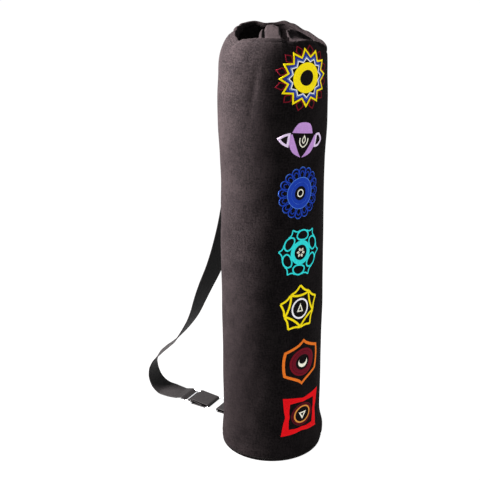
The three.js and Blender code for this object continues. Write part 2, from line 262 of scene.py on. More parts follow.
def shoulder_points(turn, share):
    """The folded shoulder, from the top of the standing wall (0) over the crest to the edge (1)."""
    foot = placed(turn, wall_radius(turn, TOP_RISE), STANDING + 0 * turn)
    fold = {name: read_table(MOUTH_FOLDS, "turn", name, turn) for name in MOUTH_FOLDS}
    crest = placed(turn + fold["lean"], BAG_RADIUS * fold["reach"], BAG_HEIGHT * fold["rise"])
    # The canvas rises steeply first and then leans over to the crest
    low = raised(foot, mix(STANDING, crest[..., 2], 0.62))
    high = raised(mix(crest, foot, 0.55), mix(STANDING, crest[..., 2], 0.97))
    inward = placed(turn + fold["aim"], -BAG_RADIUS * fold["over"], 0 * turn)
    lift = np.array([0, 0, BAG_HEIGHT]) * fold["lift"][..., None]
    edge = crest + inward + lift
    rolled = crest + inward * 0.5
    steep = edge - inward * 0.1 - lift * 0.6
    rising = bezier(foot, low, high, crest, share / CREST_SHARE)
    turning = bezier(crest, rolled, steep, edge, (share - CREST_SHARE) / (1 - CREST_SHARE))
    return np.where((share <= CREST_SHARE)[..., None], rising, turning)


def grid_normals(points):
    """Outward normals of a grid whose rows go up and whose columns go round and close."""
    up = np.gradient(points, axis=0)
    wrapped = np.concatenate([points[:, -2:-1], points, points[:, 1:2]], axis=1)
    around = wrapped[:, 2:] - wrapped[:, :-2]
    return unit(np.cross(around, up))


def smooth_noise(turn, rise, seed, waves, turn_scale, rise_scale):
    """Gentle seeded undulation that closes round the bag."""
    draw = np.random.default_rng(seed)
    total = 0
    for _ in range(waves):
        around = draw.integers(1, turn_scale + 1)
        up = draw.uniform(-rise_scale, rise_scale)
        phase = draw.uniform(0, 2 * math.pi)
        total = total + np.sin(np.radians(turn) * around + up * 2 * math.pi * rise + phase)
    return total / math.sqrt(waves)


# Creases: slant is degrees from level, length and width are shares of the bag's height, and
# depth is in millimetres
CREASES = table("turn rise slant length width depth", [
    (-56, 0.885, 80, 0.05, 0.008, 0.9),
    (-72, 0.052, 40, 0.028, 0.005, 0.5),
    (-66, 0.045, 38, 0.03, 0.005, 0.5),
    (-78, 0.075, 35, 0.03, 0.006, 0.4),
    (-50, 0.62, 60, 0.05, 0.012, 0.4),
    (-84, 0.47, 55, 0.06, 0.014, 0.5),
    (20, 0.035, -35, 0.03, 0.006, 0.5),
    (60, 0.8, 70, 0.05, 0.012, 0.7),
    (130, 0.72, -60, 0.06, 0.014, 0.8),
    (-130, 0.55, 50, 0.06, 0.014, 0.7),
    (160, 0.86, 75, 0.05, 0.01, 0.9),
    (-160, 0.88, -70, 0.05, 0.01, 0.9),
])


def crease_depth(turn, rise):
    total = 0
    for crease in rows_of(CREASES):
        slant = math.radians(crease["slant"])
        around = np.radians(turn_between(crease["turn"], turn)) * BAG_RADIUS / BAG_HEIGHT
        up = rise - crease["rise"]
        along = (around * math.cos(slant) + up * math.sin(slant)) / crease["length"]
        across = (up * math.cos(slant) - around * math.sin(slant)) / crease["width"]
        total = total + crease["depth"] * np.exp(-along * along - across * across)
    return total


# Sewing and folds: heights and depths along the cloth; a groove has a width and a depth
FOOT_SEAM = 8.5 * MM
HEM_DEPTH = 19 * MM
ROLL_DEPTH = 8 * MM
ROLL_SPREAD = 4 * MM
ROLL_HEIGHT = 1.1 * MM
PULLED_GROOVE = (1.3 * MM, 0.9 * MM)
HEM_GROOVE = (1.2 * MM, 0.8 * MM)
HEM_FADE = 20 * MM
TUCK_TURN = -50
TUCK_SPREAD = 2.2
TUCK_DEPTH = 5 * MM
TUCK_START = 8 * MM
SOFTENING_PASSES = 30
SEAM_TURN = 180
LAP_WIDTH = 13 * MM
LAP_HEIGHT = 0.9 * MM
LAP_ROWS = LAP_WIDTH * 0.6
LAP_GROOVE = (0.9 * MM, 0.5 * MM)
FLAT_FOOT = 12 * MM
SWELL_HEIGHT = 0.6 * MM
RIPPLE_HEIGHT = 0.22 * MM


def groove(distance, width, depth):
    return -depth * np.exp(-(distance / width) ** 2)


def skin_relief(turn, rise, height, from_edge, from_crest):
    """How far the canvas stands out from its plain form."""
    swell = SWELL_HEIGHT * smooth_noise(turn, rise, 3, 9, 5, 3.5)
    ripple = RIPPLE_HEIGHT * smooth_noise(turn, rise, 8, 14, 16, 12)
    creases = -MM * crease_depth(turn, rise)
    foot = groove(height - FOOT_SEAM, *PULLED_GROOVE)
    turned_in = from_edge - from_crest
    hem = groove(from_edge - HEM_DEPTH, *HEM_GROOVE) * np.clip(2 - turned_in / HEM_FADE, 0, 1)
    roll = groove(from_crest, ROLL_SPREAD, -ROLL_HEIGHT) + groove(from_crest - ROLL_DEPTH, *PULLED_GROOVE)
    past_crest = np.clip(-from_crest / TUCK_START, 0, 1)
    tuck = groove(turn_between(TUCK_TURN, turn), TUCK_SPREAD, TUCK_DEPTH) * past_crest
    around = np.radians(turn_between(SEAM_TURN, turn)) * BAG_RADIUS
    lap = LAP_HEIGHT * np.exp(-((around / LAP_WIDTH) ** 6))
    lap_rows = groove(np.abs(around) - LAP_ROWS, *LAP_GROOVE)
    near_foot = np.clip(height / FLAT_FOOT, 0, 1)
    return (swell + ripple + creases) * near_foot + foot + hem + roll + tuck + lap + lap_rows


def softened(points, share):
    """Rounds the folds past the crest, more towards the edge, by averaging along the turn."""
    weight = np.clip((share - CREST_SHARE) / (1 - CREST_SHARE) * 3, 0, 1)[:, None, None]
    loop = points[:, :-1]
    for _ in range(SOFTENING_PASSES):
        loop = mix(loop, (np.roll(loop, 1, axis=1) + loop + np.roll(loop, -1, axis=1)) / 3, weight)
    return np.concatenate([loop, loop[:, :1]], axis=1)


def make_skin():
    turn = GRID_TURNS[None, :]
    rise = np.linspace(0, TOP_RISE, STANDING_ROWS)[:, None]
    standing = placed(turn, wall_radius(turn, rise), rise * BAG_HEIGHT)
    share = np.linspace(0, 1, SHOULDER_ROWS + 1)[1:, None]
    shoulder = softened(shoulder_points(turn + 0 * share, share + 0 * turn), share[:, 0])
    points = np.concatenate([standing, shoulder])
    steps = np.linalg.norm(np.diff(points, axis=0), axis=-1)
    length = np.concatenate([np.zeros((1, len(GRID_TURNS))), np.cumsum(steps, axis=0)])
    height = points[..., 2]
    crest = length[STANDING_ROWS - 1 + round(CREST_SHARE * SHOULDER_ROWS)]
    relief = skin_relief(turn, length / BAG_HEIGHT, height, length[-1] - length, crest - length)
    points = points + grid_normals(points) * relief[..., None]
    return {"points": points, "normals": grid_normals(points), "length": length, "crest": crest}


SKIN = make_skin()


def sample_rows(grid, row, column):
    """Bilinear reading of a grid at fractional rows and columns."""
    low_row = np.clip(np.floor(row).astype(int), 0, grid.shape[0] - 2)
    low_column = np.clip(np.floor(column).astype(int), 0, grid.shape[1] - 2)
    up = np.clip(row - low_row, 0, 1)[..., None]
    over = (column - low_column)[..., None]
    low = mix(grid[low_row, low_column], grid[low_row, low_column + 1], over)
    high = mix(grid[low_row + 1, low_column], grid[low_row + 1, low_column + 1], over)
    return mix(low, high, up)


def skin_column(turn):
    return (turn + 180) % 360 / 360 * (len(GRID_TURNS) - 1)


def on_skin(turn, length):
    """Point and normal of the skin at a turn and a length up the wall from the floor."""
    column = skin_column(turn)
    near = np.round(column).astype(int)
    lengths = SKIN["length"][:, near]
    flat = lengths.reshape(lengths.shape[0], -1)
    wanted = np.asarray(length, float).reshape(-1)
    row = [np.interp(wanted[index], flat[:, index], np.arange(len(flat))) for index in range(len(wanted))]
    row = np.array(row).reshape(np.shape(length))
    return sample_rows(SKIN["points"], row, column), sample_rows(SKIN["normals"], row, column)


# Meshes
def make_object(name, points, faces, materials, uv=None, slots=None, smooth=True):
    mesh = bpy.data.meshes.new(name)
    mesh.from_pydata([tuple(point) for point in points], [], [tuple(face) for face in faces])
    for material in materials:
        mesh.materials.append(material)
    if slots is not None:
        mesh.polygons.foreach_set("material_index", np.asarray(slots, np.int32))
    if uv is not None:
        layer = mesh.uv_layers.new(name="cloth")
        layer.data.foreach_set("uv", np.asarray(uv, np.float32).reshape(-1))
    mesh.polygons.foreach_set("use_smooth", np.full(len(mesh.polygons), smooth))
    mesh.update()
    piece = bpy.data.objects.new(name, mesh)
    bpy.context.scene.collection.objects.link(piece)
    return piece


def grid_faces(rows, columns, wrap_rows, wrap_columns):
    """Faces of a grid of points, with a place in the grid for each face corner."""
    row_steps = rows if wrap_rows else rows - 1
    column_steps = columns if wrap_columns else columns - 1
    row, column = np.meshgrid(np.arange(row_steps), np.arange(column_steps), indexing="ij")
    row, column = row.ravel(), column.ravel()
    corner_rows = np.stack([row, row, row + 1, row + 1], axis=1)
    corner_columns = np.stack([column, column + 1, column + 1, column], axis=1)
    faces = (corner_rows % rows) * columns + corner_columns % columns
    return faces, corner_rows, corner_columns


def tube_faces(rows, columns, closed, start=0):
    """Faces of a tube made of rings, capped at both ends unless it closes on itself."""
    grid, _, _ = grid_faces(rows, columns, closed, True)
    faces = [tuple(face) for face in grid + start]
    if not closed:
        last = start + (rows - 1) * columns
        faces += [tuple(range(start, start + columns))[::-1], tuple(range(last, last + columns))]
    return faces


# How finely the canvas is drawn: ranges of turn with their steps, and rows up the wall and
# the shoulder, of which the inside keeps every sixth and every second
CANVAS_TURNS = [(-180, -70, 1.6), (-70, -54, 0.8), (-54, -20, 0.4), (-20, 60, 0.8), (60, 180, 1.6)]
CANVAS_ROWS = 150
CANVAS_SHOULDER_ROWS = 60
EDGE_ANGLES = np.radians([36, 72, 108, 144])


def canvas_bag(material):
    turns = np.concatenate([np.arange(*steps) for steps in CANVAS_TURNS])
    standing = np.linspace(0, STANDING_ROWS - 1, CANVAS_ROWS)
    shoulder = STANDING_ROWS - 1 + np.linspace(0, SHOULDER_ROWS, CANVAS_SHOULDER_ROWS + 1)[1:]
    outside_rows = np.concatenate([standing, shoulder])
    place = np.meshgrid(outside_rows, skin_column(turns), indexing="ij")
    outside = sample_rows(SKIN["points"], *place)
    normals = sample_rows(SKIN["normals"], *place)
    lengths = sample_rows(SKIN["length"][..., None], *place)[..., 0]
    wall = np.where(lengths[-1] - lengths < HEM_DEPTH, HEM_WALL, CANVAS_WALL)
    last = len(outside_rows) - 1
    inner_rows = np.union1d(np.arange(0, CANVAS_ROWS, 6), np.arange(CANVAS_ROWS, last, 2))
    inner_rows = np.append(inner_rows, last)[::-1]
    inside = outside - normals * wall[..., None]
    inside[0, :, 2] = 0
    up = unit(outside[-1] - outside[-2]) * HEM_WALL / 2
    middle = (outside[-1] + inside[-1]) / 2
    half = (outside[-1] - inside[-1]) / 2
    edge = np.array([middle + half * math.cos(angle) + up * math.sin(angle) for angle in EDGE_ANGLES])
    rings = np.concatenate([outside, edge, inside[inner_rows]])
    edge_lengths = lengths[-1:] + np.arange(1, len(edge) + 1)[:, None] * MM
    inside_lengths = 2 * lengths[-1] + len(edge) * MM - lengths[inner_rows]
    ring_lengths = np.concatenate([lengths, edge_lengths, inside_lengths])
    faces, corner_rows, corner_columns = grid_faces(len(rings), len(turns), True, True)
    uv_u = np.radians(np.append(turns, 180)[corner_columns]) * BAG_RADIUS
    uv_v = ring_lengths[corner_rows % len(rings), corner_columns % len(turns)]
    uv = np.stack([uv_u, uv_v], axis=-1)
    piece = make_object("canvas_bag", rings.reshape(-1, 3), faces, [material], uv)
    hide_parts("bag_body")
    return piece


def base_disc(material):
    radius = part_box("base_panel")[1].x
    bevel = 0.8 * MM
    rim = [(radius * 0.6, 0.0), (radius - bevel, 0.0), (radius, bevel), (radius, BASE_THICKNESS - bevel),
           (radius - bevel, BASE_THICKNESS), (radius * 0.93, BASE_THICKNESS - 0.3 * MM),
           (radius * 0.9, BASE_THICKNESS), (radius * 0.5, BASE_THICKNESS)]
    columns = 144
    angles = np.linspace(0, 2 * math.pi, columns, endpoint=False)
    points = [(0.0, 0.0, 0.0)]
    for out, height in rim:
        points += [(out * math.cos(a), out * math.sin(a), height) for a in angles]
    points.append((0.0, 0.0, BASE_THICKNESS))
    faces = [(0, 1 + (c + 1) % columns, 1 + c) for c in range(columns)]
    grid, _, _ = grid_faces(len(rim), columns, False, True)
    faces += [tuple(face + 1) for face in grid]
    top, last = len(points) - 1, 1 + (len(rim) - 1) * columns
    faces += [(top, last + c, last + (c + 1) % columns) for c in range(columns)]
    uv = [points[corner][:2] for face in faces for corner in face]
    piece = make_object("base_disc", points, faces, [material], uv)
    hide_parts("base_panel")
    return piece


# Webbing: drawn as rings of points, one for each step along it
WEB_STEP = 1.6 * MM


def tab_place(along, across, height):
    turn = math.radians(TAB_TURN)
    return np.array([
        -math.sin(turn) * along + math.cos(turn) * across,
        BAG_RADIUS + math.cos(turn) * along + math.sin(turn) * across,
        height,
    ])


TAB_ACROSS = tab_place(0, 1, 0) - tab_place(0, 0, 0)


def belt_line(circles, arc_step=math.radians(9)):
    """The line of a belt that runs past circles (along, height, turn radius): straight
    between them and round each one. The turn radius is positive where it turns left."""
    links = []
    for start, end in zip(circles, circles[1:]):
        apart = math.hypot(end[0] - start[0], end[1] - start[1])
        bearing = math.atan2(end[1] - start[1], end[0] - start[0])
        links.append(bearing - math.asin((end[2] - start[2]) / apart))
    line = []
    for index, (along, height, radius) in enumerate(circles):
        side = np.sign(radius)
        enter = links[max(index - 1, 0)]
        leave = links[min(index, len(links) - 1)]
        swept = 0 if side == 0 else side * (((leave - enter) * side) % (2 * math.pi))
        steps = 0 if side == 0 else max(math.ceil(abs(swept) / arc_step), 1)
        for step in range(steps + 1):
            heading = enter + (0 if steps == 0 else swept * step / steps)
            line.append((along + radius * math.sin(heading), height - radius * math.cos(heading)))
    return line


def curve_through(points, steps):
    """Centripetal Catmull-Rom curve through points, with the same steps between each two."""
    points = np.asarray(points, float)
    padded = np.vstack([2 * points[0] - points[1], points, 2 * points[-1] - points[-2]])
    line = []
    for index in range(1, len(padded) - 2):
        p0, p1, p2, p3 = padded[index - 1:index + 3]
        sides = ((p0, p1), (p1, p2), (p2, p3))
        gap0, gap1, gap2 = (max(np.linalg.norm(b - a) ** 0.5, 1e-6) for a, b in sides)
        slope1 = ((p1 - p0) / gap0 - (p2 - p0) / (gap0 + gap1) + (p2 - p1) / gap1) * gap1
        slope2 = ((p2 - p1) / gap1 - (p3 - p1) / (gap1 + gap2) + (p3 - p2) / gap2) * gap1
        for step in range(steps):
            t = step / steps
            line.append((2 * t ** 3 - 3 * t ** 2 + 1) * p1 + (t ** 3 - 2 * t ** 2 + t) * slope1
                        + (3 * t ** 2 - 2 * t ** 3) * p2 + (t ** 3 - t ** 2) * slope2)
    line.append(padded[-2])
    return np.array(line)


def anchor_centre(height):
    """The middle of the sewn strap end, on the back of the bag."""
    point, _ = on_skin(np.array([SEAM_TURN - 0.01]), np.array([height]))
    return np.array([0, float(point[0, 1]) + SEAT_GAP + WEB_THICKNESS / 2, height])


def strap_stations():
    """Centres of the strap, its directions across, and how far it is bowed to the bag."""
    belt = belt_line([
        (SLIDER_NEAR - TAIL_LENGTH, LOW_LAYER + LAYER_PITCH, 0),
        (SLIDER_NEAR, BAR_HEIGHT, -WRAP_RADIUS),
        (RING_BAR, BAR_HEIGHT, -WRAP_RADIUS),
        (SLIDER_NEAR, BAR_HEIGHT, -(WRAP_RADIUS + LAYER_PITCH)),
        (SLIDER_MIDDLE, BAR_HEIGHT, WRAP_RADIUS),
        (SLIDER_FAR, BAR_HEIGHT, -WRAP_RADIUS),
        (STRAP_EXIT, LOW_LAYER + WEB_THICKNESS, 0),
    ])
    on_metal = np.array([tab_place(along, 0, height) for along, height in belt])
    anchor_heights = ANCHOR_HEIGHT + np.linspace(0, 1, 12) * ANCHOR_LENGTH
    on_bag = np.array([anchor_centre(height) for height in anchor_heights])
    start, finish = on_metal[-1], on_bag[0]
    route = STRAP_ROUTE
    offset = np.stack([route["side"], route["back"], 0 * route["side"]], axis=1) * STRAP_SWING
    knots = np.vstack([start, start + route["rise"][:, None] * (finish - start) + offset, finish])
    steps = 12
    free = curve_through(knots, steps)[1:]
    places = np.arange(1, len(free) + 1) / steps
    rows = np.arange(len(knots))
    heading = np.radians(np.interp(places, rows, np.hstack([TAB_TURN, route["heading"], 0])))
    tilt = np.radians(np.interp(places, rows, np.hstack([0, route["tilt"], 0])))
    level = np.cos(tilt)
    widths = np.stack([level * np.cos(heading), level * np.sin(heading), np.sin(tilt)], axis=1)
    sewn = len(on_bag) - 1
    centres = np.vstack([on_metal, free, on_bag[1:]])
    across = np.vstack([[TAB_ACROSS] * len(on_metal), widths, [(1, 0, 0)] * sewn])
    nearing = np.maximum(places - (len(knots) - 2), 0)
    return centres, across, np.hstack([np.zeros(len(on_metal)), nearing, np.ones(sewn)])


def resample(line, columns, step):
    """Points at an even step along a line, with other columns carried along."""
    lengths = lengths_along(line)
    wanted = np.linspace(0, lengths[-1], max(int(round(lengths[-1] / step)), 2) + 1)
    return [read_at(wanted, lengths, column) for column in (line, *columns)] + [wanted]


def web_section():
    """Cross-section of webbing with ribbed faces, as (offset, height) points."""
    ribs = 22
    offsets = np.linspace(-1, 1, ribs + 1) * (WEB_WIDTH / 2 - WEB_THICKNESS / 2)
    heights = WEB_THICKNESS / 2 - 0.16 * MM * (np.arange(ribs + 1) % 2)
    edge = np.radians([60, 30])
    low = [(-WEB_WIDTH / 2 + WEB_THICKNESS / 2 * (1 - math.cos(a)), WEB_THICKNESS / 2 * math.sin(a))
           for a in edge[::-1]]
    body = list(zip(offsets, heights))
    high = [(-offset, height) for offset, height in low[::-1]]
    top = low + body + high
    ends = [(-WEB_WIDTH / 2, 0.0)]
    bottom = [(offset, -height) for offset, height in top[::-1]]
    return ends + top + [(WEB_WIDTH / 2, 0.0)] + bottom


def web_frames(centres, across):
    """Directions across the webbing and out of its face, at each of its centres."""
    along = unit(np.gradient(centres, axis=0))
    across = unit(across - along * np.sum(across * along, axis=1, keepdims=True))
    return across, np.cross(along, across)


def webbing(name, centres, across, cups, materials, node):
    """Webbing along centres, bowed to fit the round bag where cups is 1."""
    centres, across, cups, lengths = resample(centres, [across, cups], WEB_STEP)
    across, face = web_frames(centres, across)
    section = web_section()
    count = len(section)
    rings = []
    for offset, height in section:
        bow = cups * offset * offset / (2 * BAG_RADIUS)
        rings.append(centres + across * offset + face * (height - bow)[:, None])
    rings = np.stack(rings, axis=1)
    faces = tube_faces(len(rings), count, False)
    _, corner_rows, corner_columns = grid_faces(len(rings), count, False, True)
    walked = lengths_along(np.array(section + section[:1]))
    uv = np.stack([walked[corner_columns], lengths[corner_rows]], axis=-1).reshape(-1, 2).tolist()
    for end, cap in enumerate(faces[-2:]):
        uv += [(section[corner % count][0], section[corner % count][1] + end) for corner in cap]
    piece = make_object(name, rings.reshape(-1, 3), faces, materials, uv)
    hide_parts(node)
    return piece


def tab_webbing(materials):
    foot = BAG_RADIUS + SEAT_GAP
    start = math.sqrt(foot ** 2 - (WEB_WIDTH / 2) ** 2) - BAG_RADIUS - 4 * MM
    line = belt_line([
        (start, LOW_LAYER, 0),
        (TAB_BAR, BAR_HEIGHT, WRAP_RADIUS),
        (start, LOW_LAYER + LAYER_PITCH, 0),
    ])
    centres = np.array([tab_place(along, 0, height) for along, height in line])
    across = np.array([TAB_ACROSS] * len(centres))
    return webbing("tab_loop", centres, across, np.zeros(len(centres)), materials, "ring_tab")


# Metal
WIRE_SIDES = 20


def wires(name, lines, material):
    """Round wires along (line, closed) pairs in the plane of the floor, as one object."""
    up = np.array([0.0, 0.0, 1.0])
    angles = np.linspace(0, 2 * math.pi, WIRE_SIDES, endpoint=False)
    points, faces = [], []
    for line, closed in lines:
        line = np.array(line)
        before, after = (line[-1:], line[:1]) if closed else (line[:1], line[-1:])
        padded = np.concatenate([before, line, after])
        out = np.cross(unit(padded[2:] - padded[:-2]), up)
        rings = [line + BAR_DIAMETER / 2 * (out * math.cos(a) + up * math.sin(a)) for a in angles]
        faces += tube_faces(len(line), WIRE_SIDES, closed, len(points))
        points += np.stack(rings, axis=1).reshape(-1, 3).tolist()
    return make_object(name, points, faces, [material])


LOOP_HALF_WIDTH = WEB_WIDTH / 2 + SIDE_CLEARANCE + BAR_DIAMETER / 2


def frame_line(near, far):
    """Rounded rectangle through the bars at near and far."""
    half_along = (far - near) / 2
    middle = (near + far) / 2
    line = []
    for corner in range(4):
        along_sign = 1 if corner in (0, 3) else -1
        across_sign = 1 if corner < 2 else -1
        for step in range(9):
            turn = math.pi / 2 * (corner + step / 8)
            along = middle + along_sign * (half_along - CORNER_RADIUS) + CORNER_RADIUS * math.cos(turn)
            across = across_sign * (LOOP_HALF_WIDTH - CORNER_RADIUS) + CORNER_RADIUS * math.sin(turn)
            line.append(tab_place(along, across, BAR_HEIGHT))
    return line


def metal_ring(material):
    piece = wires("chrome_ring", [(frame_line(TAB_BAR, RING_BAR), True)], material)
    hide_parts("strap_ring")
    return piece


def metal_slider(material):
    sides = np.linspace(-1, 1, 5) * LOOP_HALF_WIDTH
    middle_bar = [tab_place(SLIDER_MIDDLE, side, BAR_HEIGHT) for side in sides]
    lines = [(frame_line(SLIDER_NEAR, SLIDER_FAR), True), (middle_bar, False)]
    piece = wires("chrome_slider", lines, material)
    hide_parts("strap_slider")
    return piece


# Seam stitches: short raised dashes along a line on the cloth. The mouth's row stops where
# folds hide it.
STITCH_LENGTH = 3.2 * MM
STITCH_PITCH = 4.4 * MM
STITCH_WIDTH = 0.7 * MM
STITCH_HEIGHT = 0.35 * MM
STITCH_SINK = 0.2 * MM
STITCH_CROWN = 0.6
HEM_STITCH_TURNS = [(-179.9, 22), (78, 179.9)]


def dashes(line, normals):
    """Corners of the dashes along a line: eight for each, foot first."""
    line, normals = np.asarray(line, float), np.asarray(normals, float)
    lengths = lengths_along(line)
    made = []
    for start in np.arange(0, lengths[-1] - STITCH_LENGTH, STITCH_PITCH):
        wanted = start + STITCH_LENGTH * np.array([0, 0.25, 0.75, 1])
        spine = read_at(wanted, lengths, line)
        normal = read_at(wanted[1], lengths, normals)
        side = unit(np.cross(normal, spine[3] - spine[0])) * STITCH_WIDTH / 2
        start_foot, end_foot = spine[[0, 3]] - STITCH_SINK * normal
        start_top, end_top = spine[[1, 2]] + STITCH_HEIGHT * normal
        foot = [start_foot - side, end_foot - side, end_foot + side, start_foot + side]
        side = side * STITCH_CROWN
        made.append(foot + [start_top - side, end_top - side, end_top + side, start_top + side])
    return made


def stitching(name, rows, material):
    """All dashes of one seam as one object."""
    points = [corner for dash in rows for corner in dash]
    block = [(0, 3, 2, 1), (4, 5, 6, 7), (0, 1, 5, 4), (1, 2, 6, 5), (2, 3, 7, 6), (3, 0, 4, 7)]
    faces = [tuple(corner + 8 * index for corner in face) for index in range(len(rows)) for face in block]
    piece = make_object(name, points, faces, [material], smooth=False)
    outward(piece)
    return piece


def seam_stitches(material):
    turn = np.linspace(-179.9, 179.9, 721)
    rows = dashes(*on_skin(turn, np.full(len(turn), FOOT_SEAM - 3.5 * MM)))
    for start, end in HEM_STITCH_TURNS:
        turn = np.linspace(start, end, 361)
        crest = np.interp(turn, GRID_TURNS, SKIN["crest"])
        rows += dashes(*on_skin(turn, crest - ROLL_DEPTH - 2 * MM))
    lap = math.degrees(LAP_ROWS / BAG_RADIUS)
    middle = SEAM_TURN - lap * 0.001
    for side in (-lap, lap):
        climb = np.linspace(12 * MM, ANCHOR_HEIGHT - 4 * MM, 300)
        rows += dashes(*on_skin(np.full(len(climb), middle + side), climb))
    return stitching("seam_stitches", rows, material)


def strap_end_stitches(material):
    """A sewn box with a cross through it on the strap's upper end."""
    def on_strap(across, height):
        centre = anchor_centre(height)
        return centre + np.array([across, WEB_THICKNESS / 2 - across * across / (2 * BAG_RADIUS), 0])
    half = WEB_WIDTH / 2 - 4 * MM
    low, high = ANCHOR_HEIGHT + 6 * MM, ANCHOR_HEIGHT + ANCHOR_LENGTH - 5 * MM
    corners = [(-half, low), (half, low), (half, high), (-half, high)]
    rows = []
    for start, end in [(0, 1), (1, 2), (2, 3), (3, 0), (0, 2), (1, 3)]:
        (x0, z0), (x1, z1) = corners[start], corners[end]
        line = [on_strap(mix(x0, x1, share), mix(z0, z1, share)) for share in np.linspace(0, 1, 12)]
        rows += dashes(line, [(0, 1, 0)] * 12)
    return stitching("strap_end_stitches", rows, material)


def tab_stitches(material):
    top = LOW_LAYER + LAYER_PITCH + WEB_THICKNESS / 2
    half = WEB_WIDTH / 2 - 3 * MM
    rows = []
    for along in (9 * MM, 13 * MM):
        line = [tab_place(along, across, top) for across in np.linspace(-half, half, 12)]
        rows += dashes(line, [(0, 0, 1)] * 12)
    return stitching("tab_stitches", rows, material)


# Embroidery: shapes are drawn flat in millimetres, x to the right and y up, and then laid
# on the skin. Each stitched shape is a row of threads from one edge to the other.
THREAD_PITCH = 0.62
THREAD_HEIGHT = 0.55
THREAD_SINK = 0.35


def polar(radius, degrees):
    """A point at a radius and an angle from straight up, clockwise."""
    angle = math.radians(degrees)
    return (radius * math.sin(angle), radius * math.cos(angle))


def circle(radius, count):
    return [polar(radius, 360 * step / count) for step in range(count)]


def star(points, tip, valley):
    return [polar((tip, valley)[step % 2], 180 / points * step) for step in range(2 * points)]


def arch(*half):
    """A symmetrical run of points, from the (radius, angle) points of its left half."""
    left = [polar(radius, -angle) for radius, angle in half]
    return left + [(-x, y) for x, y in left[-2::-1]]


def smooth(points, closed=True, steps=8):
    """A smooth curve through a few points."""
    points = [np.array([x, y, 0.0]) for x, y in points]
    if closed:
        line = curve_through(points[-2:] + points + points[:3], steps)
        line = line[2 * steps:(2 + len(points)) * steps]
    else:
        line = curve_through(points, steps)
    return [(x, y) for x, y, _ in line]


def corners_and_curves(points, steps=6):
    """A closed outline through (x, y, sharp) points: smooth between its sharp corners."""
    sharp = [index for index, point in enumerate(points) if point[2]]
    count = len(points)
    outline = []
    for start, end in zip(sharp, sharp[1:] + [sharp[0] + count]):
        run = [points[index % count][:2] for index in range(start, end + 1)]
        outline += smooth(run, False, steps)[:-1]
    return outline


def area_sign(points):
    points = np.asarray(points)
    after = np.roll(points, -1, axis=0)
    return np.sign(np.sum(points[:, 0] * after[:, 1] - after[:, 0] * points[:, 1]))


def inset(points, distance):
    """A closed outline moved inwards by a distance, with mitred corners."""
    points = np.asarray(points, float)
    side = area_sign(points)
    edges = np.roll(points, -1, axis=0) - points
    edges /= np.linalg.norm(edges, axis=1, keepdims=True) + 1e-12
    normals = np.stack([-edges[:, 1], edges[:, 0]], axis=1) * side
    before = np.roll(normals, 1, axis=0)
    share = 1 + np.sum(before * normals, axis=1, keepdims=True)
    return points + (before + normals) / np.maximum(share, 0.35) * distance


def side_edges(points, width):
    """Both edges of an open line of stitches of a given width."""
    points = np.asarray(points, float)
    along = unit(np.gradient(points, axis=0))
    normal = np.stack([-along[:, 1], along[:, 0]], axis=1)
    return points + normal * width / 2, points - normal * width / 2


def stitched(edge_a, edge_b, colour, closed=False, height=THREAD_HEIGHT):
    """A row of threads from one edge to the other, as rings of (x, y, height)."""
    a, b = np.asarray(edge_a, float), np.asarray(edge_b, float)
    if closed:
        a, b = np.vstack([a, a[:1]]), np.vstack([b, b[:1]])
    steps = (np.linalg.norm(np.diff(a, axis=0), axis=1) + np.linalg.norm(np.diff(b, axis=0), axis=1)) / 2
    lengths = np.concatenate([[0], np.cumsum(steps)])
    rows = max(2 * int(round(lengths[-1] / THREAD_PITCH)), 4)
    wanted = np.linspace(0, lengths[-1], rows, endpoint=not closed)
    start, end = read_at(wanted, lengths, a), read_at(wanted, lengths, b)
    widths = np.linalg.norm(end - start, axis=1)
    across = int(np.clip(round(widths.max() / 1.1), 3, 9))
    share = np.linspace(0, 1, across + 1)
    crown = 1 - np.abs(2 * share - 1) ** 4 * 0.75
    row_height = height * np.where(np.arange(rows) % 2 == 0, 1.0, 0.62) * np.clip(widths / 1.2, 0.35, 1)
    rings = np.stack([start + (end - start) * place for place in [0.0, *share, 1.0]], axis=1)
    lift = np.zeros(rings.shape[:2])
    lift[:, 1:-1] = row_height[:, None] * crown[None, :]
    lift[:, [0, -1]] = -THREAD_SINK
    return {"rings": np.dstack([rings, lift]), "closed": closed, "colour": colour}


def ring(outer, inner, count, colour, height=THREAD_HEIGHT):
    """A flat ring of threads between two radii."""
    return stitched(circle(outer, count), circle(inner, count), colour, True, height)


def outline(points, width, colour, height=THREAD_HEIGHT):
    """A closed outline in satin stitch, width wide on its inner side."""
    return stitched(points, inset(points, width), colour, True, height)


def line_of(points, width, colour, height=THREAD_HEIGHT):
    """An open line in satin stitch."""
    return stitched(*side_edges(points, width), colour, False, height)


def turned(points, degrees):
    angle = math.radians(-degrees)
    c, s = math.cos(angle), math.sin(angle)
    return [(x * c - y * s, x * s + y * c) for x, y in points]


def figure(name, bands, colours, length, turn, spin, stretch):
    """Lays stitched shapes on the skin as one piece, one material for each thread colour."""
    names = list(dict.fromkeys(band["colour"] for band in bands))
    points, faces, slots = [], [], []
    c, s = math.cos(math.radians(spin)), math.sin(math.radians(spin))
    for band in bands:
        rings = band["rings"]
        rows, count = rings.shape[:2]
        x, y = rings[..., 0] * stretch, rings[..., 1]
        around = turn + np.degrees((x * c - y * s) * MM / BAG_RADIUS)
        base, normal = on_skin(around, length * MM + (x * s + y * c) * MM)
        made = tube_faces(rows, count, band["closed"], len(points))
        points += (base + normal * (rings[..., 2] * MM)[..., None]).reshape(-1, 3).tolist()
        faces += made
        slots += [names.index(band["colour"])] * len(made)
    piece = make_object(name, points, faces, [colours[key] for key in names], None, slots)
    outward(piece)
    return piece


def outward(piece):
    """Makes all faces point out."""
    mesh = bmesh.new()
    mesh.from_mesh(piece.data)
    bmesh.ops.recalc_face_normals(mesh, faces=mesh.faces)
    mesh.to_mesh(piece.data)
    mesh.free()


